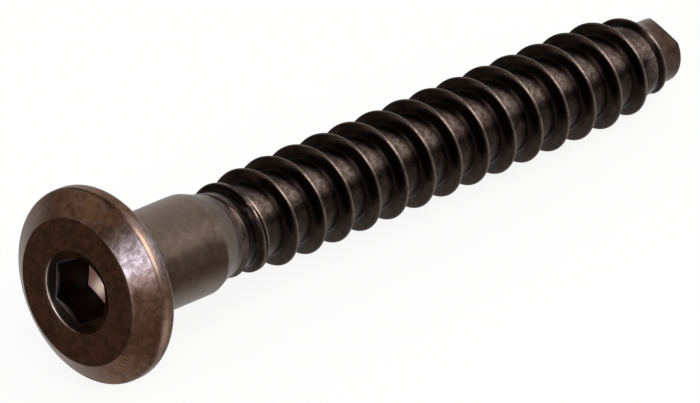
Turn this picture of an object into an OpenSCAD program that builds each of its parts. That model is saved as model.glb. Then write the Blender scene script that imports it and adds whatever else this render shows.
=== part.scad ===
// Confirmat screw: a one-piece connector for furniture panels. A bevelled flat head with a hexagon
// socket sits on a smooth shank, and a coarse rolled thread runs from the shank to a plain stub.
// The screw is drawn upright, with its face at z = 0 and its tip toward +Z, and is then laid down
// the way it rests on a table: on the rim of its head and on a thread crest near the tip.

/* [Size] */
// Length from the underside of the head to the tip
length = 51.8; // [46:0.1:58]
// Turn of the whole screw about its own axis as it lies
roll = 0; // [-30:1:30]

/* [Head] */
// Diameter over the rim
head_d = 13; // [12:0.5:15]
// Thickness of the head
head_h = 2.35; // [2.1:0.05:2.6]
// Diameter of the flat face inside the bevel
face_d = 9.8; // [9:0.1:10.6]
// Height of the bevel, the rest being the upright rim
bevel_h = 1.2; // [0.9:0.05:1.3]
// Rounding of the edge between the face and the bevel
edge_r = 0.15; // [0.05:0.05:0.2]
// Rounding of the rim's front edge
rim_r = 0.4; // [0.2:0.05:0.45]
// Rounding of the rim's back edge
back_r = 0.5; // [0.3:0.05:0.6]
// Fillet between the head and the shank
neck_r = 0.3; // [0.1:0.1:0.5]

/* [Socket] */
// Width across the flats of the hexagon
hex_af = 4; // [3:0.5:4]
// Depth from the face to the end of each corner
hex_depth = 3; // [2:0.1:4]
// Slope of the conical floor away from square to the axis
floor_angle = 16; // [8:1:40]
// Diameter of the lead-in cone at the face
lead_d = 5.6; // [5.4:0.1:6.4]
// Depth at which the lead-in cone meets the middle of each flat
lead_h = 0.45; // [0.3:0.05:0.6]
// Turn of the hexagon about the axis
hex_turn = -1; // [-30:1:30]

/* [Shank] */
// Diameter of the smooth shank
shank_d = 6.8; // [6.6:0.1:7]
// Length of the smooth shank under the head
shank_len = 7.8; // [6:0.1:9]
// Half-angle of the cone that joins the shank to the thread's core
cone_angle = 20; // [15:1:40]

/* [Thread] */
// Diameter over the crests
thread_d = 7; // [6.8:0.1:7.2]
// Diameter at the roots
core_d = 5.2; // [4.8:0.1:5.4]
// Advance in one turn
pitch = 2.54; // [2.3:0.01:2.8]
// Width of the crest's land
crest_w = 0.16; // [0.12:0.02:0.4]
// Slope of each flank away from square to the axis
flank_angle = 17; // [12:1:22]
// Width of the blend at the foot of each flank
foot_w = 0.16; // [0.1:0.02:0.2]
// Height of the blend, as a share of the thread's height
foot_h = 0.14; // [0.08:0.02:0.2]
// Diameter at the first root, beside the cone
first_core_d = 5.6; // [5.2:0.1:6]
// Length over which the roots sink from there to their full depth
core_run_in = 3; // [2:0.1:5]
// Length over which the crest grows, from a start that the cone hides
run_in = 8; // [5:0.1:10]
// Bend of that growth, 1 being a straight line
run_in_bend = 1.7; // [1:0.1:2.5]
// How far the first crest stands toward the tip of its regular place
late_shift = 1.3; // [0:0.05:1.3]
// Length over which that shift falls to about a third, and again in the next such length
late_len = 1.35; // [1.3:0.05:2]
// Depth of the dip in the second crest, which the rolling left unfilled
second_dip = 0.1; // [0:0.02:0.16]
// Length over which the crest falls to nothing at the tip
run_out = 6.2; // [4:0.1:8]
// Bend of that fall, 1 being a straight line
run_out_bend = 2.3; // [1:0.1:3]
// Turn of the thread about the axis
thread_turn = 124.6; // [0:0.2:360]

/* [Tip] */
// Diameter of the plain stub
stub_d = 4.36; // [4:0.02:4.5]
// Length of the stub beyond the thread's last trace
stub_len = 0.6; // [0.4:0.1:1]
// Length of the core's own taper down to the stub
core_taper = 1.9; // [1.5:0.1:3]
// Rounding of the stub's end
stub_edge = 0.15; // [0.05:0.05:0.3]
// Width of the slanted shear mark on the stub's end
shear_w = 0.55; // [0.2:0.05:0.6]
// Slope of the shear mark away from square to the axis
shear_slope = 45; // [40:1:50]
// Direction of the shear mark about the axis
shear_turn = -161; // [-180:1:180]

/* [Fineness] */
// Columns of thread points in one turn
columns = 40; // [24:2:44]

/* [Hidden] */

steel = [0.34, 0.27, 0.23];
total = head_h + length;
head_r = head_d / 2;
face_r = face_d / 2;
shank_r = shank_d / 2;
core_r = core_d / 2;
first_core_r = first_core_d / 2;
thread_r = thread_d / 2;
stub_r = stub_d / 2;
hex_corner_r = hex_af / 2 / cos(30);
lead_slope = (lead_d / 2 - hex_af / 2) / lead_h;
shank_end = head_h + shank_len;

// How deep one solid reaches into the next, so that they fuse
weld = 0.1;
// Overshoot of a cut beyond the surface it opens
over = 1;
// Height below which the rows of a fading thread keep their spacing
least_h = 0.1;
arc_steps = 4;
smooth = 96;

// Places near the thread's start, in turns: where the growth begins, where the shift starts to die
// away, and the middle and half-length of the dip
grow_turn = -0.33;
late_turn = 0.33;
dip_turn = 1.6;
dip_half = 0.46;
// The rod ends inside the stub, this far from the tip, and its last rows are drawn in before that
rod_gap = 1;
rod_squash = 1.2;

// Thread in its unwound form: a place on the helix is its regular height above the face
thread_end = total - stub_len;
turns = round((thread_end - shank_end) / pitch);
thread_start = thread_end - turns * pitch;
grow_start = thread_start + grow_turn * pitch;
late_end = thread_start + late_turn * pitch;
dip_middle = thread_start + dip_turn * pitch;
dip_reach = dip_half * pitch;
flank_slope = tan(flank_angle);
core_end = stub_r - weld;
cone_end_r = first_core_r - weld;
cone_end = shank_end + (shank_r - cone_end_r) / tan(cone_angle);
core_taper_start = thread_end - core_taper - stub_len;
squash_start = total - rod_gap - rod_squash;

// Rows of points across one pitch, from foot to foot over the crest: side and share of the height
row_side = [-1, -1, -1, 1, 1, 1];
row_level = [0, foot_h, 1, 1, foot_h, 0];
rows = len(row_side);
last_row = rows * turns;

function clamp01(x) = max(0, min(1, x));
function arc(centre, r, from, to) =
    [for (i = [0 : arc_steps])
        let (a = from + (to - from) * i / arc_steps)
        centre + r * [cos(a), sin(a)]];

function mix(a, b, share) = a + (b - a) * share;

// Radius of the crest at a place on the helix, which grows from the core and falls to the stub
function grown(place) = 1 - pow(1 - clamp01((place - grow_start) / run_in), run_in_bend);
function left(place) = 1 - pow(clamp01((place - thread_end + run_out) / run_out), run_out_bend);
function dip(place) = second_dip * max(0, 1 - pow((place - dip_middle) / dip_reach, 2));
function crest_r(place) =
    min(mix(core_r, thread_r, grown(place)) - dip(place), mix(core_end, thread_r, left(place)));

// Shift of the first crest toward the tip, which dies away along the helix
function shift(place) = late_shift * exp(-max(0, place - late_end) / late_len);

// Radius of the roots at a height: shallow beside the cone, and tapering to the stub at the tip
function core_at(z) =
    mix(first_core_r, core_r, clamp01((z - cone_end) / core_run_in))
    - (core_r - core_end) * clamp01((z - core_taper_start) / core_taper);

// Last rows drawn in toward a limit inside the stub, so that the rod ends in a flat ring
function squash(z) =
    z < squash_start ? z
    : squash_start + rod_squash * (1 - exp((squash_start - z) / rod_squash));

// Distance of a row from the middle of the crest
function row_offset(q, h) =
    crest_w / 2
    + (1 - row_level[q]) * max(h, least_h) * flank_slope
    + (row_level[q] == 0 ? foot_w : 0);

// Point j of a turn, row m
function thread_point(j, m) =
    let (
        q = m % rows,
        place = thread_start + pitch * (floor(m / rows) + j / columns),
        top = crest_r(place),
        z = squash(place + shift(place) + row_side[q] * row_offset(q, top - core_r)),
        root = core_at(z),
        r = mix(root, max(root, top), row_level[q]),
        a = thread_turn + 360 * j / columns
    )
    [r * cos(a), r * sin(a), z];
function ring_point(j, r, z) =
    let (a = thread_turn + 360 * j / columns)
    [r * cos(a), r * sin(a), z];

// Index of a point in the list: column by column, then the two end rings
function at(j, m) = j * (last_row + 1) + m;
function low_ring(j) = columns * (last_row + 1) + j;
function high_ring(j) = columns * (last_row + 2) + j;
function quad(a, b, c, d) = [[a, b, c], [a, c, d]];

// Core and thread as one closed rod. The point grid follows the helix, and where it closes on
// itself, each row of the last column meets the row one pitch further on in the first column.
module threaded_rod() {
    points = [
        for (j = [0 : columns - 1], m = [0 : last_row]) thread_point(j, m),
        for (j = [0 : columns - 1]) ring_point(j, first_core_r, shank_end - weld),
        for (j = [0 : columns - 1]) ring_point(j, core_end, total - rod_gap)
    ];
    last = columns - 1;
    walls = [
        for (j = [0 : last - 1], m = [0 : last_row - 1])
            each quad(at(j, m), at(j, m + 1), at(j + 1, m + 1), at(j + 1, m)),
        for (m = [0 : last_row - rows - 1])
            each quad(at(last, m), at(last, m + 1), at(0, m + rows + 1), at(0, m + rows))
    ];
    low_end = [
        for (j = [0 : last - 1]) each quad(low_ring(j), at(j, 0), at(j + 1, 0), low_ring(j + 1)),
        for (m = [0 : rows - 1]) [at(last, 0), at(0, m + 1), at(0, m)],
        [at(last, 0), at(0, 0), low_ring(0)],
        [at(last, 0), low_ring(0), low_ring(last)],
        [for (j = [0 : last]) low_ring(j)]
    ];
    high_end = [
        for (m = [last_row - rows : last_row - 1]) [at(last, m), at(last, m + 1), at(0, last_row)],
        for (j = [0 : last - 1])
            each quad(at(j, last_row), high_ring(j), high_ring(j + 1), at(j + 1, last_row)),
        each quad(at(last, last_row), high_ring(last), high_ring(0), at(0, last_row)),
        [for (j = [0 : last]) high_ring(last - j)]
    ];
    polyhedron(points = points, faces = concat(walls, low_end, high_end), convexity = 10);
}

// Outline of the head, the shank and the cone that leads into the thread
module blank_outline() {
    bevel_angle = atan(bevel_h / (head_r - face_r));
    half_bevel = tan(bevel_angle / 2);
    half_rim = tan((90 - bevel_angle) / 2);
    polygon(concat(
        [[0, 0]],
        arc([face_r - edge_r * half_bevel, edge_r], edge_r, -90, bevel_angle - 90),
        arc([head_r - rim_r, bevel_h + rim_r * half_rim], rim_r, bevel_angle - 90, 0),
        arc([head_r - back_r, head_h - back_r], back_r, 0, 90),
        arc([shank_r + neck_r, head_h + neck_r], neck_r, -90, -180),
        [[shank_r, shank_end], [cone_end_r, cone_end], [0, cone_end]]
    ));
}

// Hexagon socket with a conical floor, and with the cone that leads the key in
module socket() {
    point = hex_depth + hex_corner_r * tan(floor_angle);
    reach = hex_corner_r + over;
    intersection() {
        rotate([0, 0, hex_turn])
            translate([0, 0, -over])
                cylinder(r = hex_corner_r, h = over + point + over, $fn = 6);
        rotate_extrude($fn = smooth)
            polygon([
                [0, -2 * over],
                [reach, -2 * over],
                [reach, point - reach * tan(floor_angle)],
                [0, point]
            ]);
    }
    translate([0, 0, -over])
        cylinder(
            r1 = lead_d / 2 + over * lead_slope,
            r2 = lead_d / 2 - lead_h * lead_slope,
            h = over + lead_h,
            $fn = smooth
        );
}

// Plain end of the screw, with the slanted mark where the wire was sheared off
module stub() {
    stub_start = core_taper_start - weld;
    difference() {
        rotate_extrude($fn = smooth)
            polygon(concat(
                [[0, stub_start], [core_end - weld, stub_start], [stub_r, stub_start + 2 * weld]],
                arc([stub_r - stub_edge, total - stub_edge], stub_edge, 0, 90),
                [[0, total]]
            ));
        rotate([0, 0, shear_turn])
            translate([stub_r - shear_w, 0, total])
                rotate([0, shear_slope, 0])
                    translate([0, -stub_r, -stub_r])
                        cube([stub_d, stub_d, stub_d]);
    }
}

module upright_screw() {
    difference() {
        rotate_extrude($fn = smooth) blank_outline();
        socket();
    }
    threaded_rod();
    stub();
}

// Lying pose: the tip comes down from level until the first crest touches the table
function low_place(k) = thread_start + pitch * (k - (thread_turn + roll) / 360);
rest_slopes = [
    for (k = [1 : turns + 1])
        let (place = low_place(k))
        (head_r - crest_r(place)) / (place + shift(place) + crest_w / 2 - head_h + back_r)
];
tilt = atan(min(rest_slopes));
lift = (head_r - back_r) * cos(tilt) + (head_h - back_r) * sin(tilt) + back_r;
back_x = -face_r * sin(tilt);
front_x = total * cos(tilt) + (stub_r - stub_edge) * sin(tilt);

module screw() {
    color(steel)
        translate([-(back_x + front_x) / 2, 0, lift])
            rotate([0, 90 + tilt, 0])
                rotate([0, 0, roll])
                    upright_screw();
}

screw();
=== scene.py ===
"""Looks of the confirmat screw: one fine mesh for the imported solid, its steel, floor, lights, camera.

The screw is built upright in millimetres, with its face at z = 0 and its tip toward +Z, and is then
laid down in the pose that the part's source gives it. Its outside is one function, the radius at a
height and an angle, sampled on rings that turn into helical rows along the thread.

Angles about the axis are in degrees. On the screw as it lies, 0 is down, 90 is to the left as the
camera sees it, 180 is up and 270 is to the right.
"""
import math

import bpy
import numpy as np
from mathutils import Matrix, Vector


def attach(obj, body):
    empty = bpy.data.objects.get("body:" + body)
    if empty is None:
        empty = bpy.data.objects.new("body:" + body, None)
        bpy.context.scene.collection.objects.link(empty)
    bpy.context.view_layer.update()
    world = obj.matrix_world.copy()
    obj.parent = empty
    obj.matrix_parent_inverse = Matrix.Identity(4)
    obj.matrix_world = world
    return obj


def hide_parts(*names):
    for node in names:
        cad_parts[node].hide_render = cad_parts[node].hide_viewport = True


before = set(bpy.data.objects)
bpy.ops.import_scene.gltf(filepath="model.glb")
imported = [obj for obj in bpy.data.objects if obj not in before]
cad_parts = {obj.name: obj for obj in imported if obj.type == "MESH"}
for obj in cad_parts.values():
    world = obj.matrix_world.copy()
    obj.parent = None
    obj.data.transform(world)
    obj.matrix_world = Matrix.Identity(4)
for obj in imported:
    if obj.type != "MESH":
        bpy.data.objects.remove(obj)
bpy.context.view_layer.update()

# ------------------------------------------------ sizes in millimetres, as in the part's source
TOTAL, HEAD_H, HEAD_R, FACE_R, BEVEL_H = 54.15, 2.35, 6.5, 4.9, 1.2
EDGE_R, RIM_R, BACK_R, NECK_R = 0.15, 0.4, 0.5, 0.3
HEX_AF, HEX_DEPTH, LEAD_R, LEAD_H, HEX_TURN = 4.0, 3.0, 2.8, 0.45, -1.0
FLOOR_SLOPE = math.tan(math.radians(16))
SHANK_R, SHANK_END, CONE_SLOPE = 3.4, 10.15, math.tan(math.radians(20))
THREAD_R, CORE_R, FIRST_CORE_R, PITCH = 3.5, 2.6, 2.8, 2.54
CREST_W, FLANK_SLOPE = 0.16, math.tan(math.radians(17))
RUN_IN, RUN_IN_BEND, RUN_OUT, RUN_OUT_BEND = 8.0, 1.7, 6.2, 2.3
CORE_RUN_IN, CORE_TAPER = 3.0, 1.9
LATE_SHIFT, LATE_LEN, DIP, THREAD_TURN = 1.3, 1.35, 0.1, 124.6
STUB_R, STUB_LEN, STUB_EDGE = 2.18, 0.6, 0.15
SHEAR_W, SHEAR_TURN, WELD = 0.55, -161.0, 0.1
TILT, FACE_AT = math.radians(3.747), Vector((-26.9233, 0, 6.6081))

THREAD_END = TOTAL - STUB_LEN
TURNS = round((THREAD_END - SHANK_END) / PITCH)
THREAD_START = THREAD_END - TURNS * PITCH
GROW_START = THREAD_START - 0.33 * PITCH
LATE_END = THREAD_START + 0.33 * PITCH
DIP_MIDDLE, DIP_REACH = THREAD_START + 1.6 * PITCH, 0.46 * PITCH
CORE_END = STUB_R - WELD
TAPER_START = THREAD_END - CORE_TAPER - STUB_LEN
CONE_END = SHANK_END + (SHANK_R - FIRST_CORE_R) / CONE_SLOPE
BEVEL_ANGLE = math.degrees(math.atan(BEVEL_H / (HEAD_R - FACE_R)))
RIM_Z = BEVEL_H + RIM_R * math.tan(math.radians((90 - BEVEL_ANGLE) / 2))
SOCKET_POINT = HEX_DEPTH + HEX_AF / 2 / math.cos(math.radians(30)) * FLOOR_SLOPE

# ------------------------------------------------ shapes that only the fine mesh has
CREST_ROUND, FOOT_BLEND, CONE_BLEND, SHEAR_BLEND = 0.04, 0.42, 0.2, 0.05
# ridge that the punch left on the lead-in cone, along the hexagon's edge: its place and its reach as
# shares of the way from the wall to the face, and its height
RIDGE_AT, RIDGE_REACH, RIDGE_H = 0.2, 0.07, 0.02
# points (up the wall, in from it) of the rounding between the socket's floor and its wall
FLOOR_ROUND = ((0.008, 0.012), (0.04, 0))
# points (depth, outward from the lead-in cone's edge) of the rounding between that cone and the face
LEAD_ROUND = ((0.012, -0.005), (0.003, 0.025), (0, 0.05))
# the second crest, left unfilled by the rolling: a wide land with a groove between two lips
OPEN_MIDDLE, OPEN_REACH, OPEN_WIDER, OPEN_BACK = 13.8, 0.8, 0.15, 0.15
OPEN_DEPTH, OPEN_WIDTH = 0.24, 0.1
# the crests' land is rubbed bright from one place along the thread to another; the first crest is
# rounder, and bright only in one spot, which is a painted highlight
RUB_START, RUB_LEN, RUB_END, RUB_FADE = 12.0, 1.2, 53.4, 1.4
RUB_DEPTH, FIRST_ROUND, FIRST_SPOT, FIRST_REACH, FIRST_SHINE = 0.07, 0.08, 11.05, 0.3, 0.9

# ------------------------------------------------ fineness of the mesh
COLUMNS = 108
# rings as shares of the way: out along the socket's floor, from its edge along the wall to the lead-in
# cone, out along that cone, and along the stub's side to its end
FLOOR_SHARES = (0.15, 0.4, 0.65, 0.85, 0.97)
WALL_SHARES = (0.25, 0.5, 0.75, 0.93, 0.985)
RIDGE_SHARES = RIDGE_AT + np.linspace(-RIDGE_REACH, RIDGE_REACH, 7)
LEAD_SHARES = (0, 0.04, 0.09, *RIDGE_SHARES, 0.32, 0.5, 0.75, 0.9, 0.96)
STUB_SHARES = (0, 0.4, 0.75, 0.95)
END_RADII = (1.95, 1.8, 1.6, 1.35, 1.05, 0.7, 0.35)
# rings along the plain shank: distance from the neck, from the first helical row, and between two
SHANK_FROM, SHANK_SPARE, SHANK_STEP = 0.5, 0.3, 0.6
# rows on one side of a crest, as shares of the pitch: close together over the crest's edge and over the
# foot of the flank
CREST_ROWS = [0.012, 0.022, 0.031, 0.04, 0.055, 0.07, 0.086, 0.098, 0.11, 0.122]
CREST_ROWS += [0.134, 0.146, 0.158, 0.17, 0.183, 0.197, 0.22, 0.27, 0.34, 0.42]
STEPS = [-share for share in reversed(CREST_ROWS)] + [0] + CREST_ROWS
ROWS = len(STEPS)
# the helical rows start below the cone and run on past the thread's end; there they are squeezed
# below a limit, under the stub's first ring
HELIX_START = SHANK_END - 0.3 - PITCH - LATE_SHIFT
ROWS_BEYOND, STUB_GAP = 0.3, 0.01
ROD_LIMIT = THREAD_END - 0.07
SQUEEZE, SQUEEZE_LEN = 0.12, 0.6
# the rows follow the crests' shift only from here on, and over this length
FOLLOW_START, FOLLOW_LEN = 8.2, 1.3
SHARP_ANGLE = 32
MM = 0.001

# ------------------------------------------------ wear, and painted shade and highlights, by place
# how far the painted shade of the flanks reaches onto the core, over what length it fades, and the thread's
# height at which it is full
FOOT_DARK, FOOT_FADE, TALL = 0.36, 0.36, 0.3
# the darkest painted shade, a line in the crease at the foot of the flank: how far beyond the flank, and
# its reach
CREASE_AT, CREASE_REACH = 0.04, 0.22
# stretches round the axis: middle and reach in degrees
# rubbed lines on the lead-in cone and a glint on the face's edge, painted bright on one side as highlights
OUTER_ARC, RIDGE_ARC, FACE_ARC = (58, 70), (75, 95), (242, 42)
# painted shade along one side of the shank and of the bevel
SHANK_BAND, BEVEL_BAND = (265, 30), (282, 40)
# painted highlights: paler sides of the bevel, of the core and of the last turn
BEVEL_PALE, CORE_PALE, LAST_PALE = (228, 28), (219, 31), (232, 52)
# painted highlight on the rim's front rounding, and a weaker one lower down
RIM_HIGHLIGHT_ARC, RIM_LOWER = (225, 32), (278, 24)
# sides where light is painted: low is the underside, paler as a painted reflection of the floor; high is
# where the crest lines carry a painted highlight; left is where the head and the lead-in cone are greyer as
# a painted glancing reflection; ring is where the cone carries a paler band as a painted reflection
SIDES = {"low": (300, 60), "high": (212, 42), "left": (80, 90), "ring": (262, 72)}
# stretches over the rim's front rounding, where its highlight is painted; 0 degrees is outward and negative
# is toward the face
ROUND_HIGHLIGHT, ROUND_LOWER = (-14, 34), (-8, 45)
# half widths of the rubbed lines, which are painted bright on one side as highlights, the last one as a
# share of the lead-in cone; the line round that cone lies this far inside its edge
ARC_WIDTH, RIDGE_WIDTH = 0.035, 0.045
ARC_INSIDE = 0.01
# strengths against the full one: of the lead-in ridge's rubbed line and the face edge's painted glint, of
# the rim's lower painted highlight, of the bevel's painted shade and of the last turn's painted highlight
RIDGE_WEAR_AND_GLINT, FACE_EDGE_GLINT, LOWER_RIM_HIGHLIGHT, BEVEL_DARK, LAST_LIGHT = 0.1, 0.25, 0.4, 0.8, 0.8
# where the core's paler side, a painted highlight, starts, and where it gets wider, each with the length it
# fades in over
CORE_PALE_FROM, CORE_PALE_FADE, LAST_PALE_FROM, LAST_PALE_FADE = OPEN_MIDDLE, 0.6, 50.3, 0.5
# pale spot on the socket's floor, a painted reflection: down and to the left of the axis, and its reach in
# both directions
SPOT, SPOT_REACH = (1.1, 1.1), (0.5, 0.45)
# distance of the last slope from the last turn's crest, and the length it fades in over
LAST_SLOPE, LAST_FADE = 0.35, 0.3
# limits: of the lead-in cone outward, and of the bevel and the shank's painted shade band toward the tip
LEAD_OUT, BEVEL_END, SHANK_BAND_END = LEAD_R + 0.06, BEVEL_H + 0.2, SHANK_END + 0.02
# the painted reflection spot counts between these two heights, which hold the socket's floor
SPOT_FROM, SPOT_TO = LEAD_H + 0.5, HEAD_H + 2

# ------------------------------------------------ colours as they show on a screen, 0 to 255
# in pairs, a dark and a light one, between which the mottling goes
# painted shade: the thread's core is painted dark between the crests, a little paler underneath as a
# painted reflection of the floor, and paler on one side as a painted highlight
CORE_SHADE = (23, 18, 16), (48, 38, 33)
LOWER_CORE_SHADE = (36, 29, 26), (54, 45, 40)
CORE_HIGHLIGHT = (76, 62, 57), (125, 109, 102)
# painted shade on the flanks, paler underneath as a painted reflection of the floor
SHADED_FLANK = (29, 22, 19), (43, 33, 28)
LOWER_FLANK_SHADE = (39, 31, 27), (54, 44, 38)
# painted shade in the groove between the first and the second crest
FIRST_GROOVE_SHADE = (15, 12, 11), (27, 21, 19)
FIRST_SLOPE = (56, 46, 43), (78, 67, 63)
# the shank, paler and greyer underneath as a painted reflection of the floor
SHANK = (93, 79, 71), (104, 90, 81)
SHANK_LOW = (94, 84, 77), (106, 95, 87)
CONE = (66, 57, 51), (92, 81, 74)
HEAD = (76, 52, 38), (103, 79, 64)
# the head's left side, greyer as a painted glancing reflection
HEAD_LEFT_SHEEN = (84, 70, 62), (97, 83, 75)
# painted highlight: the paler side of the bevel
HEAD_HIGHLIGHT = (88, 80, 81), (122, 114, 117)
FACE = (35, 17, 9), (54, 31, 17)
STUB = (60, 45, 38), (77, 60, 52)
# painted shade along one side of the shank and of the bevel
BAND_SHADE = (49, 33, 25), (61, 44, 34)
# painted highlight on the rim's front rounding
RIM_HIGHLIGHT_COLOURS = (184, 150, 134), (200, 168, 152)
# single ones
# the first is a painted reflection, a paler band on one side of the cone; the second is painted shade, for
# the crease at the flank's foot
CONE_REFLECTION, CREASE_SHADE, RUST, SMUDGE = (99, 90, 82), (14, 11, 9), (108, 75, 50), (48, 32, 24)
# the last is painted shade, the socket's walls near black in the recess
LEAD_IN, LEAD_IN_LEFT, SOCKET_WALL_SHADE = (24, 15, 11), (18, 15, 14), (36, 33, 32)
# the socket floor's colour, and a pale spot on it that is a painted reflection
SOCKET_FLOOR, SOCKET_REFLECTION = (122, 84, 75), (255, 226, 211)
# rubbed crest lines, brighter on one side as a painted highlight, and the head's rubbed lines, painted
# bright as highlights and glints
RUBBED, RUBBED_HIGHLIGHT, HEAD_GLINT = (104, 92, 84), (142, 125, 115), (222, 202, 193)

# ------------------------------------------------ the steel's masks, noises and gloss
# each mask goes from 0 at the first to 1 at the second height or radius
HEAD_SPAN = HEAD_H + 0.1, HEAD_H - 0.1
FACE_SPAN, FACE_DEPTH = (FACE_R + 0.04, FACE_R - 0.04), (0.1, 0.03)
CONE_SPAN = SHANK_END - 0.02, SHANK_END + 0.03
THREAD_SPAN = SHANK_END + 1.25, SHANK_END + 1.6
FIRST_SPAN = OPEN_MIDDLE + 0.4, OPEN_MIDDLE - 0.2
FIRST_SLOPE_SPAN = SHANK_END + 2.6, SHANK_END + 2.4
LEAD_SPAN = LEAD_R + 0.01, LEAD_R - 0.05
SOCKET_SPAN, SOCKET_TOP = (HEX_AF / 2 + 0.33, HEX_AF / 2 + 0.28), (0.3, 0.45)
FLOOR_SPAN, FLOOR_BOTTOM = (SOCKET_POINT - 0.03, SOCKET_POINT - 0.01), (HEAD_H + 2.3, HEAD_H + 2.2)
# each noise: scale per metre, detail, roughness, distortion
NOISES = {
    "blotch": (1900, 3.0, 0.6, 0.2),
    "fleck": (3200, 2.0, 0.6, 0.0),
    "cloud": (560, 2.0, 0.5, 0.0),
    "grain": (7000, 2.0, 0.6, 0.0),
}
# the part of a noise's range that a mottling uses, and what it is mapped to where that isn't 0 to 1
MOTTLE, FACE_MOTTLE, CORE_MOTTLE, HEAD_MOTTLE = (0.3, 0.7), (0.33, 0.67), (0.3, 0.7), (0.35, 0.65)
RUST_MOTTLE, SMUDGE_MOTTLE = (0.48, 0.36, 0, 0.38), (0.54, 0.74, 0, 0.32)
WEAR_MOTTLE = (0.3, 0.55, 0.5, 1)
ROUGH_MOTTLE, THREAD_ROUGH, FLOOR_ROUGH = (0.3, 0.7, 0.3, 0.36), 0.26, 0.5
CREASE_STRENGTH, BAND_STRENGTH = 0.8, 0.92
# tint of the gloss at a glancing angle
TINT, LEAD_TINT = (0.82, 0.8, 0.79, 1), (0.68, 0.58, 0.52, 1)
# strength of the bumps, and their height in metres
GRAIN_BUMP, BLOTCH_BUMP = (0.2, 0.00002), (0.1, 0.00003)

# ------------------------------------------------ studio, in metres and degrees
FLOOR_GREY, FLOOR_GLOW, FLOOR_SIZE = 0.9, 0.87, 12
LAMP_DISTANCE, WORLD_STRENGTH = 0.6, 0.3
WHITE = (1, 1, 1)
# each lamp: name, azimuth, elevation, width, height, radiance, colour
SOFTBOXES = (
    ("softbox_right", 8, 28, 1.36, 0.62, 0.92, WHITE),
    ("softbox_left", -161, 21, 0.2, 0.22, 10.5, (0.95, 0.95, 1)),
    ("softbox_front", -96, 48, 0.8, 0.5, 2.6, (1, 0.95, 0.9)),
    ("softbox_low", 170, 9, 0.24, 0.14, 5.0, WHITE),
    ("softbox_back", 122, 32, 0.6, 0.24, 0.7, WHITE),
)
# camera, solved from the outlines in the photograph; the focal length is in pixels of its width
SENSOR, FOCAL_PX, PHOTO_W = 36.0, 11728.4946, 700
CAMERA_AT = Vector((-0.47905675, -0.45745103, 0.36768221))
CAMERA_DOWN, CAMERA_TURN = math.radians(28.8744), math.radians(43.8076)
NEAR, FAR = 0.05, 20


# ------------------------------------------------ small maths
def mix(a, b, share):
    return a + (b - a) * share


def clamp(x):
    return np.clip(x, 0, 1)


def hump(x, middle, reach):
    """1 in the middle, falling smoothly to 0 at the reach."""
    return clamp(1 - ((x - middle) / reach) ** 2) ** 2


def bell(x, width):
    """1 at 0, falling off on both sides over about the width."""
    return np.exp(-((x / width) ** 2))


def soft_max(a, b, blend):
    """The larger of the two, with a fillet where they are nearly equal."""
    h = np.maximum(blend - np.abs(a - b), 0) / blend
    return np.maximum(a, b) + h * h * blend / 4


def soft_min(a, b, blend):
    return -soft_max(-a, -b, blend)


# ------------------------------------------------ the thread as a radius at a height and an angle
def crest_r(place):
    """Radius of the crest at a place along the thread, which is its height before it is shifted."""
    grown = 1 - (1 - clamp((place - GROW_START) / RUN_IN)) ** RUN_IN_BEND
    left = 1 - clamp((place - THREAD_END + RUN_OUT) / RUN_OUT) ** RUN_OUT_BEND
    dip = DIP * np.maximum(0, 1 - ((place - DIP_MIDDLE) / DIP_REACH) ** 2)
    return np.minimum(mix(CORE_R, THREAD_R, grown) - dip, mix(CORE_END, THREAD_R, left))


def shift(place):
    """How far toward the tip a crest stands late."""
    return LATE_SHIFT * np.exp(-np.maximum(0, place - LATE_END) / LATE_LEN)


def core_r(z):
    sunk = mix(FIRST_CORE_R, CORE_R, clamp((z - CONE_END) / CORE_RUN_IN))
    t = clamp((z - TAPER_START) / CORE_TAPER)
    return sunk - (CORE_R - STUB_R) * t * t * (3 - 2 * t)


def rod_r(z, angle):
    """Radius of core and thread, with the masks of a crest's land, rubbed and in one spot a painted
    highlight, and of the painted shade on the flanks and in the creases at their feet.
    """
    turn = (angle - THREAD_TURN) / 360
    r = core_r(z)
    land, flank, foot_shade = (np.zeros_like(r) for _ in range(3))
    near = np.round((z - THREAD_START) / PITCH - turn)
    # two crests toward the head count, as they can stand late by half a pitch
    for step in (-2, -1, 0, 1):
        place = THREAD_START + PITCH * (near + step + turn)
        present = (place > GROW_START) & (place < THREAD_END)
        rubbed = clamp((place - RUB_START) / RUB_LEN)
        unfilled = hump(place, OPEN_MIDDLE, OPEN_REACH)

        # shape: the land, its rounding, the flank, and the groove of the unfilled crest
        away = np.abs(z - place - shift(place) + OPEN_BACK * unfilled)
        past = away - CREST_W / 2 - OPEN_WIDER * unfilled
        rounding = mix(FIRST_ROUND, CREST_ROUND, rubbed)
        drop = (past + np.sqrt(past**2 + rounding**2)) / 2 / FLANK_SLOPE
        groove = unfilled * bell(away, OPEN_WIDTH)
        height = np.where(present, crest_r(place) - drop - OPEN_DEPTH * groove, 0)

        # masks: the land's wear and painted highlight, and the painted shade on the flank and in its crease
        bright = rubbed * clamp((RUB_END - place) / RUB_FADE)
        # a painted highlight in one spot on the first crest
        bright = np.maximum(bright, FIRST_SHINE * hump(place, FIRST_SPOT, FIRST_REACH))
        shine = bright * bell(drop, RUB_DEPTH) * (1 - groove)
        land = np.maximum(land, np.where(present & (height > r), shine, 0))
        tall = crest_r(place) - core_r(z)
        beyond = away - CREST_W / 2 - tall * FLANK_SLOPE
        grown = rubbed * clamp(tall / TALL) * present
        flank = np.maximum(flank, grown * clamp((FOOT_DARK - beyond) / FOOT_FADE))
        foot_shade = np.maximum(foot_shade, grown * hump(beyond, CREASE_AT, CREASE_REACH))
        r = soft_max(r, height, FOOT_BLEND)
    return r, land, flank, foot_shade


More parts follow.
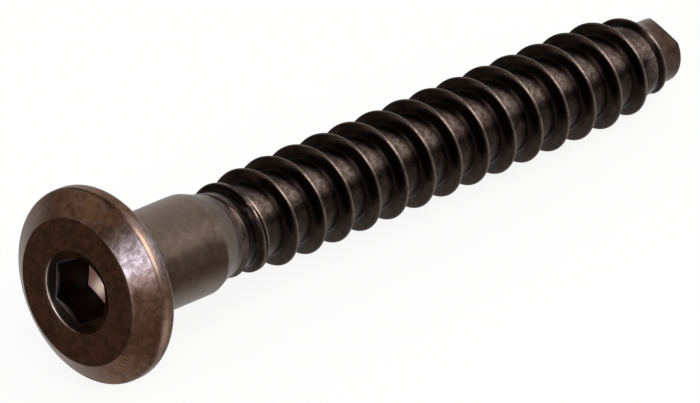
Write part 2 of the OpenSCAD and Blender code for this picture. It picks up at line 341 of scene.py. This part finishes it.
def outside_r(z, angle):
    """Radius of the whole outside beyond the neck, with the three masks."""
    rod, land, flank, foot_shade = rod_r(z, angle)
    blank = SHANK_R - np.maximum(0, z - SHANK_END) * CONE_SLOPE
    r = soft_max(rod, np.where(z < CONE_END + 1, blank, 0), CONE_BLEND)
    return r, land * (z > SHANK_END), flank * (rod >= blank), foot_shade * (rod >= blank)


# ------------------------------------------------ rings and rows of points
angles = HEX_TURN + 360 * np.arange(COLUMNS) / COLUMNS
turns = np.arange(COLUMNS) / COLUMNS


def full(x):
    """A value, or one per column, as an array with one per column."""
    return np.broadcast_to(x, COLUMNS).astype(float)


def arc(z, r, radius, start, end, count):
    """Points (z, r) on a round edge; 0 degrees is outward and 90 toward the tip."""
    return [
        (z + radius * math.sin(t), r + radius * math.cos(t))
        for t in np.radians(np.linspace(start, end, count))
    ]


def line(a, b, count):
    """Points between two others, both left out."""
    return [tuple(mix(np.array(a), np.array(b), s)) for s in np.linspace(0, 1, count + 2)[1:-1]]


def hexagon_wall(around):
    """Distance of the socket's wall from the axis at an angle."""
    return HEX_AF / 2 / np.cos(np.radians((around - HEX_TURN) % 60 - 30))


def lead_z(r):
    """Depth of the socket's lead-in cone at a radius."""
    return (LEAD_R - r) / (LEAD_R - HEX_AF / 2) * LEAD_H


def socket_rings():
    """Rings (z, r) from the socket's floor up its wall and out to the face."""
    wall = hexagon_wall(angles)
    foot = SOCKET_POINT - wall * FLOOR_SLOPE
    made = [(SOCKET_POINT - wall * share * FLOOR_SLOPE, wall * share) for share in FLOOR_SHARES]
    made += [(foot - up, wall - inward) for up, inward in FLOOR_ROUND]
    made += [(mix(foot, lead_z(wall), share), wall) for share in WALL_SHARES]
    for share in LEAD_SHARES:
        r = mix(wall, LEAD_R, share)
        made.append((lead_z(r) - RIDGE_H * hump(share, RIDGE_AT, RIDGE_REACH), r))
    made += [(depth, LEAD_R + outward) for depth, outward in LEAD_ROUND]
    return made


def head_rings():
    """Rings (z, r) over the face, the bevel, the rim and the head's back, down to the shank."""
    edge_r = FACE_R - EDGE_R * math.tan(math.radians(BEVEL_ANGLE / 2))
    inner = arc(EDGE_R, edge_r, EDGE_R, start=-90, end=BEVEL_ANGLE - 90, count=6)
    outer = arc(RIM_Z, HEAD_R - RIM_R, RIM_R, start=BEVEL_ANGLE - 90, end=0, count=10)
    back = arc(HEAD_H - BACK_R, HEAD_R - BACK_R, BACK_R, start=0, end=90, count=11)
    neck = [
        (HEAD_H + NECK_R * (1 - math.cos(t)), SHANK_R + NECK_R * (1 - math.sin(t)))
        for t in np.linspace(0, math.pi / 2, 7)
    ]
    depth, outward = LEAD_ROUND[-1]
    face = line((depth, LEAD_R + outward), inner[0], count=7)
    bevel = line(inner[-1], outer[0], count=8)
    return face + inner + bevel + outer + back + line(back[-1], neck[0], count=4) + neck


def crest_z(place):
    """Height of a crest's middle; at the thread's end the rows are squeezed below ROD_LIMIT."""
    follow = clamp((place - FOLLOW_START) / FOLLOW_LEN)
    last = ROD_LIMIT - SQUEEZE
    beyond = last + SQUEEZE * (1 - np.exp(-(place - last) / SQUEEZE_LEN))
    return np.where(place < last, place + shift(place) * follow, beyond)


def helical_rows():
    """Rows (z, r, masks), each climbing one pitch in one turn, from the shank past the thread's end."""
    phase = (HEX_TURN - THREAD_TURN) / 360
    crest = math.floor((HELIX_START - THREAD_START) / PITCH - phase)
    made = []
    while True:
        for step in STEPS:
            along = crest + step
            nominal = THREAD_START + PITCH * (along + phase)
            if nominal < HELIX_START:
                continue
            low = math.floor(along)
            here = THREAD_START + PITCH * (low + phase + turns)
            z = mix(crest_z(here), crest_z(here + PITCH), along - low)
            made.append((z, *outside_r(z, angles)))
            if nominal > THREAD_END + ROWS_BEYOND:
                return made
        crest += 1


def stub_rings():
    """Rings (z, r) up the stub's side and over its end, cut by the slanted shear mark."""
    side = np.cos(np.radians(angles - SHEAR_TURN))

    def cut(z, r):
        plane = TOTAL + STUB_R - SHEAR_W - r * side
        return soft_min(full(z), plane, SHEAR_BLEND)

    top = cut(TOTAL - STUB_EDGE, STUB_R)
    edge = arc(TOTAL - STUB_EDGE, STUB_R - STUB_EDGE, STUB_EDGE, start=0, end=90, count=7)
    made = [(mix(ROD_LIMIT + STUB_GAP, top, share), STUB_R) for share in STUB_SHARES]
    made += [(cut(z, r), r) for z, r in edge[1:]]
    made += [(cut(TOTAL, r), r) for r in END_RADII]
    return made


def all_rows():
    """Every ring and row with its masks, and the numbers between which the helical rows lie."""
    shank = np.arange(HEAD_H + NECK_R + SHANK_FROM, HELIX_START - SHANK_SPARE, SHANK_STEP)
    no_masks = [full(0)] * 3
    front = socket_rings() + head_rings() + [(z, SHANK_R) for z in shank]
    rows = [(full(z), full(r), *no_masks) for z, r in front]
    start = len(rows)
    rows += helical_rows()
    end = len(rows)
    rows += [(full(z), full(r), *no_masks) for z, r in stub_rings()]
    return rows, start, end


def grid_faces(count, start, end):
    """Faces of the closed surface; its rows are rings, except for the helical ones from start to end."""
    n, last = COLUMNS, COLUMNS - 1

    def at(m, j):
        return m * n + j

    faces = []
    for m in range(count - 1):
        helical = start <= m and m + 1 < end
        for j in range(n):
            if j < last:
                faces.append((at(m, j), at(m, j + 1), at(m + 1, j + 1), at(m + 1, j)))
            elif not helical and m + 1 != start and m != end - 1:
                faces.append((at(m, last), at(m, 0), at(m + 1, 0), at(m + 1, last)))
            elif helical and m + ROWS + 1 < end:
                # a row runs on into the row one pitch further
                faces.append((at(m, last), at(m + ROWS, 0), at(m + ROWS + 1, 0), at(m + 1, last)))
    # closing fans where rings turn into rows and back
    faces.append((at(start - 1, last), at(start - 1, 0), at(start, 0), at(start, last)))
    faces += [(at(start, last), at(start + i, 0), at(start + i + 1, 0)) for i in range(ROWS)]
    faces += [(at(m, last), at(end - 1, 0), at(m + 1, last)) for m in range(end - 1 - ROWS, end - 1)]
    faces.append((at(end - 1, last), at(end - 1, 0), at(end, 0), at(end, last)))
    # fans round the two middle points, of the socket's floor and of the stub's end
    floor_point, end_point, top = count * n, count * n + 1, count - 1
    faces += [(floor_point, at(0, (j + 1) % n), at(0, j)) for j in range(n)]
    faces += [(end_point, at(top, j), at(top, (j + 1) % n)) for j in range(n)]
    return faces


def screw_mesh():
    """Points, faces and masks of the closed surface, upright and in millimetres."""
    rows, start, end = all_rows()
    z, r, *masks = (np.array(values) for values in zip(*rows))
    a = np.radians(angles)
    points = np.stack([r * np.cos(a), r * np.sin(a), z], -1).reshape(-1, 3)
    points = np.vstack([points, [[0, 0, SOCKET_POINT], [0, 0, TOTAL]]])
    masks = [np.append(mask.reshape(-1), [0, 0]) for mask in masks]
    return points, grid_faces(len(rows), start, end), masks


# ------------------------------------------------ where the screw is worn, and where shade, highlights and reflections are painted on it
def facing(around, middle, reach):
    """1 at an angle about the axis, falling smoothly to 0 at the reach on both sides of it."""
    return hump((around - middle + 180) % 360 - 180, 0, reach)


def head_wear_and_glints(axial, radial, around):
    """Rubbed lines, painted bright on one side as highlights: two arcs on the socket's lead-in cone, and a
    painted glint on the edge round the face.
    """
    lead = (axial < LEAD_H) & (radial < LEAD_OUT)
    outer = bell(radial - LEAD_R + ARC_INSIDE, ARC_WIDTH) * facing(around, *OUTER_ARC)
    wall = hexagon_wall(around)
    share = (radial - wall) / (LEAD_R - wall)
    ridge = bell(share - RIDGE_AT, RIDGE_WIDTH) * facing(around, *RIDGE_ARC) * RIDGE_WEAR_AND_GLINT
    edge = bell(radial - FACE_R, ARC_WIDTH) * facing(around, *FACE_ARC) * FACE_EDGE_GLINT * (axial < EDGE_R)
    return np.where(lead, np.maximum(outer, ridge), edge)


def painted_shade_band(axial, radial, around):
    """Painted shade along one side of the shank and of the bevel."""
    on_bevel = (axial < BEVEL_END) & (radial > FACE_R)
    shank = facing(around, *SHANK_BAND) * (axial > HEAD_H)
    bevel = facing(around, *BEVEL_BAND) * BEVEL_DARK
    return np.where(on_bevel, bevel, np.where(axial > SHANK_BAND_END, 0, shank))


def painted_highlights(points, axial, radial, around):
    """Painted highlights and a painted reflection: one side of the bevel, of the core, and a spot on the
    socket's floor.
    """
    bevel = facing(around, *BEVEL_PALE)
    core = facing(around, *CORE_PALE) * clamp((axial - CORE_PALE_FROM) / CORE_PALE_FADE)
    last = facing(around, *LAST_PALE) * LAST_LIGHT * clamp((axial - LAST_PALE_FROM) / LAST_PALE_FADE)
    spot = bell(points[:, 0] - SPOT[0], SPOT_REACH[0]) * bell(points[:, 1] - SPOT[1], SPOT_REACH[1])
    socket = (axial > SPOT_FROM) & (axial < SPOT_TO) & (radial < LEAD_R)
    return np.where(axial > CONE_END, np.maximum(core, last), np.where(socket, spot, bevel))


def rim_highlight_mask(axial, radial, around):
    """Painted highlight on the rounding between bevel and rim, and a weaker one below it."""
    turned = np.degrees(np.arctan2(axial - RIM_Z, radial - HEAD_R + RIM_R))
    on_rim = (radial > HEAD_R - RIM_R / 2) & (axial < HEAD_H)
    lower = hump(turned, *ROUND_LOWER) * facing(around, *RIM_LOWER) * LOWER_RIM_HIGHLIGHT
    return np.maximum(hump(turned, *ROUND_HIGHLIGHT) * facing(around, *RIM_HIGHLIGHT_ARC), lower) * on_rim


def last_turn(axial, around):
    """1 beyond the last turn's crest, on the stub and the slope that leads to it."""
    crest = THREAD_END - PITCH + PITCH * ((around - THREAD_TURN) % 360) / 360
    return clamp((axial - crest - LAST_SLOPE) / LAST_FADE)


# ------------------------------------------------ the piece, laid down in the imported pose
def build_screw():
    """The screw as one object, with an attribute for each thing that its material goes by."""
    points, faces, (land, flank, foot_shade) = screw_mesh()
    axial, radial = points[:, 2], np.hypot(points[:, 0], points[:, 1])
    around = np.degrees(np.arctan2(points[:, 1], points[:, 0])) % 360
    pose = Matrix.Translation(FACE_AT) @ Matrix.Rotation(math.pi / 2 + TILT, 4, "Y")
    laid = points @ np.array(pose.to_3x3()).T + np.array(FACE_AT)
    mesh = bpy.data.meshes.new("screw_body")
    mesh.from_pydata((laid * MM).tolist(), [], faces)
    places = {
        "axial": axial,
        "radial": radial,
        "wear_and_highlight": np.maximum(land, head_wear_and_glints(axial, radial, around)),
        "flank": flank,
        "foot_shade": foot_shade,
        "shade_stripe": painted_shade_band(axial, radial, around),
        "highlight_paint": painted_highlights(points, axial, radial, around),
        **{name: facing(around, *side) for name, side in SIDES.items()},
        "stub": last_turn(axial, around),
        "rim": rim_highlight_mask(axial, radial, around),
    }
    for name, values in places.items():
        attribute = mesh.attributes.new(name, "FLOAT", "POINT")
        attribute.data.foreach_set("value", values.astype(np.float32))
    mesh.shade_smooth()
    mesh.set_sharp_from_angle(angle=math.radians(SHARP_ANGLE))
    made = bpy.data.objects.new("screw_body", mesh)
    bpy.context.collection.objects.link(made)
    return made


# ------------------------------------------------ materials
def srgb(colour):
    """A colour given as it shows on a screen, 0 to 255, as the linear one a shader takes."""
    shares = [c / 255 for c in colour]
    return (*(c / 12.92 if c < 0.0431 else ((c + 0.055) / 1.055) ** 2.4 for c in shares), 1.0)


class Nodes:
    """A material's node tree, built by short calls."""

    def __init__(self, name):
        self.material = bpy.data.materials.new(name)
        self.material.use_nodes = True
        self.tree = self.material.node_tree
        self.tree.nodes.clear()

    def put(self, socket, value):
        """Links another node's output to a socket, or gives the socket a constant."""
        if isinstance(value, bpy.types.NodeSocket):
            self.tree.links.new(value, socket)
        else:
            socket.default_value = value

    def add(self, kind, inputs=None, **settings):
        node = self.tree.nodes.new(kind)
        for key, value in settings.items():
            setattr(node, key, value)
        for key, value in (inputs or {}).items():
            self.put(node.inputs[key], value)
        return node

    def attribute(self, name):
        return self.add("ShaderNodeAttribute", attribute_name=name).outputs["Fac"]

    def ramp(self, value, low, high, out_low=0.0, out_high=1.0):
        """Value mapped smoothly from low..high to out_low..out_high."""
        node = self.add(
            "ShaderNodeMapRange",
            {0: value, 1: low, 2: high, 3: out_low, 4: out_high},
            interpolation_type="SMOOTHSTEP",
        )
        return node.outputs[0]

    def math(self, operation, a, b=0.0):
        return self.add("ShaderNodeMath", {0: a, 1: b}, operation=operation).outputs[0]

    def times(self, a, b):
        return self.math("MULTIPLY", a, b)

    def blend(self, share, a, b):
        """Colour a where the share is 0 and b where it is 1; sockets 6 and 7 are Mix's two colours."""
        node = self.add("ShaderNodeMix", {0: share, 6: a, 7: b}, data_type="RGBA", blend_type="MIX")
        return node.outputs[2]

    def noise(self, coords, scale, detail, rough, distortion):
        inputs = {"Vector": coords, "Scale": scale, "Detail": detail, "Roughness": rough}
        return self.add("ShaderNodeTexNoise", {**inputs, "Distortion": distortion}).outputs[0]

    def bump(self, height, strength, distance, **under):
        inputs = {"Strength": strength, "Distance": distance, "Height": height, **under}
        return self.add("ShaderNodeBump", inputs).outputs[0]


class SteelNodes(Nodes):
    """Node tree of the steel, with its noises and the masks by where on the screw a point is."""

    def __init__(self):
        super().__init__("bronzed_steel")
        coords = self.add("ShaderNodeTexCoord").outputs["Object"]
        self.blotch, self.fleck, self.cloud, self.grain = (
            self.noise(coords, *NOISES[name]) for name in ("blotch", "fleck", "cloud", "grain")
        )
        self.mottle = self.ramp(self.blotch, *MOTTLE)
        self.axial, self.radial = self.attribute("axial"), self.attribute("radial")
        self.on_head = self.ramp(self.axial, *HEAD_SPAN)
        self.on_cone = self.ramp(self.axial, *CONE_SPAN)
        self.on_thread = self.ramp(self.axial, *THREAD_SPAN)
        self.on_face = self.times(self.ramp(self.radial, *FACE_SPAN), self.ramp(self.axial, *FACE_DEPTH))
        self.in_lead = self.times(self.ramp(self.radial, *LEAD_SPAN), self.on_head)
        below_top = self.ramp(self.axial, *SOCKET_TOP)
        self.in_socket = self.times(self.ramp(self.radial, *SOCKET_SPAN), below_top)
        self.on_floor = self.times(self.floor_cone(), self.ramp(self.axial, *FLOOR_BOTTOM))

    def floor_cone(self):
        """Mask of the cone that the socket's floor lies on."""
        deep = self.math("ADD", self.axial, self.times(self.radial, FLOOR_SLOPE))
        return self.times(self.ramp(deep, *FLOOR_SPAN), self.in_socket)

    def pair(self, colours, share=None):
        """Mottled colour between a dark and a light one."""
        dark, light = colours
        return self.blend(self.mottle if share is None else share, srgb(dark), srgb(light))

    def sided(self, side, colours, others):
        """Mottled colour that goes over into another one on one side of the screw."""
        return self.blend(side, self.pair(colours), self.pair(others))


def rod_colour(n):
    """Colour of shank, cone and thread, with painted shade between the crests, on the flanks and in their
    creases, and painted reflections and highlights.
    """
    low, highlight_paint = n.attribute("low"), n.attribute("highlight_paint")
    on_first = n.times(n.on_thread, n.ramp(n.axial, *FIRST_SPAN))
    on_slope = n.ramp(n.axial, *FIRST_SLOPE_SPAN)
    # paler underneath as a painted reflection of the floor
    colour = n.sided(low, SHANK, SHANK_LOW)
    # painted reflection: a paler band on one side of the cone
    cone = n.blend(n.attribute("ring"), n.pair(CONE), srgb(CONE_REFLECTION))
    colour = n.blend(n.on_cone, colour, cone)
    # painted shade on the core, paler underneath as a painted reflection, and a painted highlight on one
    # side
    core = n.sided(low, CORE_SHADE, LOWER_CORE_SHADE)
    core = n.blend(highlight_paint, core, n.pair(CORE_HIGHLIGHT, n.ramp(n.fleck, *CORE_MOTTLE)))
    colour = n.blend(n.on_thread, colour, core)
    # painted shade in the groove between the first and the second crest
    colour = n.blend(on_first, colour, n.sided(on_slope, FIRST_GROOVE_SHADE, FIRST_SLOPE))
    # painted shade on the flanks
    on_flank = n.times(n.attribute("flank"), n.on_thread)
    colour = n.blend(on_flank, colour, n.sided(low, SHADED_FLANK, LOWER_FLANK_SHADE))
    # painted shade: the crease at each flank's foot is painted near black
    return n.blend(n.times(n.attribute("foot_shade"), CREASE_STRENGTH), colour, srgb(CREASE_SHADE))


def head_colour(n, colour):
    """The colour so far, with the head's, the face's and the socket's over it, with painted reflections and
    highlights on the head and painted shade on the socket's walls.
    """
    left, highlight_paint = n.attribute("left"), n.attribute("highlight_paint")
    # greyer on the left as a painted glancing reflection
    head = n.sided(left, HEAD, HEAD_LEFT_SHEEN)
    head = n.blend(n.ramp(n.cloud, *RUST_MOTTLE), head, srgb(RUST))
    # painted highlight on one side of the bevel
    head = n.blend(highlight_paint, head, n.pair(HEAD_HIGHLIGHT, n.ramp(n.fleck, *HEAD_MOTTLE)))
    colour = n.blend(n.on_head, colour, head)
    colour = n.blend(n.on_face, colour, n.pair(FACE, n.ramp(n.blotch, *FACE_MOTTLE)))
    # the lead-in cone, greyer on the left as a painted glancing reflection
    colour = n.blend(n.in_lead, colour, n.blend(left, srgb(LEAD_IN), srgb(LEAD_IN_LEFT)))
    # painted shade on the socket's walls
    colour = n.blend(n.in_socket, colour, srgb(SOCKET_WALL_SHADE))
    # the socket's floor, with a painted reflection spot
    return n.blend(n.on_floor, colour, n.blend(highlight_paint, srgb(SOCKET_FLOOR), srgb(SOCKET_REFLECTION)))


def wear_and_painted_light_colour(n, colour):
    """The colour so far, with the stub's, the painted shade stripe's, the painted rim highlight's, the
    rubbed edges' with their painted highlights, and the smudges' over it.
    """
    colour = n.blend(n.attribute("stub"), colour, n.pair(STUB))
    # painted shade along one side of the shank and of the bevel
    colour = n.blend(n.times(n.attribute("shade_stripe"), BAND_STRENGTH), colour, n.pair(BAND_SHADE))
    # painted highlight on the rim's front rounding
    colour = n.blend(n.attribute("rim"), colour, n.pair(RIM_HIGHLIGHT_COLOURS))
    # the crest lines are rubbed metal, brighter on the high side as a painted highlight
    rubbed = n.blend(n.attribute("high"), srgb(RUBBED), srgb(RUBBED_HIGHLIGHT))
    wear_and_highlight = n.times(n.attribute("wear_and_highlight"), n.ramp(n.fleck, *WEAR_MOTTLE))
    # the rubbed lines and the face edge's glint, painted bright as highlights
    colour = n.blend(wear_and_highlight, colour, n.blend(n.on_head, rubbed, srgb(HEAD_GLINT)))
    return n.blend(n.ramp(n.cloud, *SMUDGE_MOTTLE), colour, srgb(SMUDGE))


def grey(value):
    return (value, value, value, 1)


def steel_material():
    """Browned steel. Only the socket's floor is matt, and it carries a painted reflection."""
    n = SteelNodes()
    rough = n.blend(n.on_thread, n.ramp(n.blotch, *ROUGH_MOTTLE), grey(THREAD_ROUGH))
    inputs = {
        "Base Color": wear_and_painted_light_colour(n, head_colour(n, rod_colour(n))),
        "Metallic": n.ramp(n.on_floor, 0, 1, 1.0, 0.0),
        "Roughness": n.blend(n.on_floor, rough, grey(FLOOR_ROUGH)),
        "Specular Tint": n.blend(n.in_lead, TINT, LEAD_TINT),
        "Normal": n.bump(n.blotch, *BLOTCH_BUMP, Normal=n.bump(n.grain, *GRAIN_BUMP)),
    }
    shader = n.add("ShaderNodeBsdfPrincipled", inputs)
    n.add("ShaderNodeOutputMaterial", {"Surface": shader.outputs[0]})
    return n.material


def floor_material():
    """Pale floor: white to the camera and in reflections, with the object's shadow on it."""
    n = Nodes("floor_white")
    path = n.add("ShaderNodeLightPath")
    seen = n.math("MAXIMUM", path.outputs["Is Camera Ray"], path.outputs["Is Glossy Ray"])
    seen = n.math("MAXIMUM", seen, path.outputs["Is Transmission Ray"])
    matt = n.add("ShaderNodeBsdfDiffuse", {"Color": grey(FLOOR_GREY)})
    white = n.add("ShaderNodeEmission", {"Color": grey(1), "Strength": 1.0})
    share = n.times(seen, FLOOR_GLOW)
    both = n.add("ShaderNodeMixShader", {0: share, 1: matt.outputs[0], 2: white.outputs[0]})
    n.add("ShaderNodeOutputMaterial", {"Surface": both.outputs[0]})
    return n.material


# ------------------------------------------------ floor, lights and camera
def direction(azimuth, elevation):
    """Unit vector toward an azimuth and an elevation, both in radians."""
    level = math.cos(elevation)
    return Vector((level * math.cos(azimuth), level * math.sin(azimuth), math.sin(elevation)))


def place_object(name, data, location, rotation):
    made = bpy.data.objects.new(name, data)
    made.location = location
    made.rotation_mode = "QUATERNION"
    made.rotation_quaternion = rotation
    bpy.context.collection.objects.link(made)
    return made


def add_floor():
    bpy.ops.mesh.primitive_plane_add(size=FLOOR_SIZE, location=(0, 0, 0))
    floor = bpy.context.object
    floor.name = "floor"
    floor.data.materials.append(floor_material())


def add_softbox(name, azimuth, elevation, width, height, radiance, colour):
    """A rectangular lamp facing the screw, given by its direction, size, radiance and colour."""
    toward = direction(math.radians(azimuth), math.radians(elevation))
    lamp = bpy.data.lights.new(name, "AREA")
    lamp.shape, lamp.size, lamp.size_y = "RECTANGLE", width, height
    lamp.energy = radiance * math.pi * width * height
    lamp.color = colour
    place_object(name, lamp, toward * LAMP_DISTANCE, toward.to_track_quat("Z", "Y"))


def add_world():
    world = bpy.data.worlds.new("studio")
    world.use_nodes = True
    background = world.node_tree.nodes["Background"]
    background.inputs["Color"].default_value = grey(1)
    background.inputs["Strength"].default_value = WORLD_STRENGTH
    bpy.context.scene.world = world


def add_camera():
    data = bpy.data.cameras.new("camera")
    data.lens, data.sensor_width = FOCAL_PX / PHOTO_W * SENSOR, SENSOR
    data.clip_start, data.clip_end = NEAR, FAR
    toward = direction(CAMERA_TURN, -CAMERA_DOWN)
    camera = place_object("camera", data, CAMERA_AT, toward.to_track_quat("-Z", "Y"))
    bpy.context.scene.camera = camera


add_camera()
screw = build_screw()
screw.data.materials.append(steel_material())
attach(screw, "root")
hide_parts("screw")
add_floor()
add_world()
for softbox in SOFTBOXES:
    add_softbox(*softbox)
bpy.context.scene.view_settings.view_transform = "Standard"
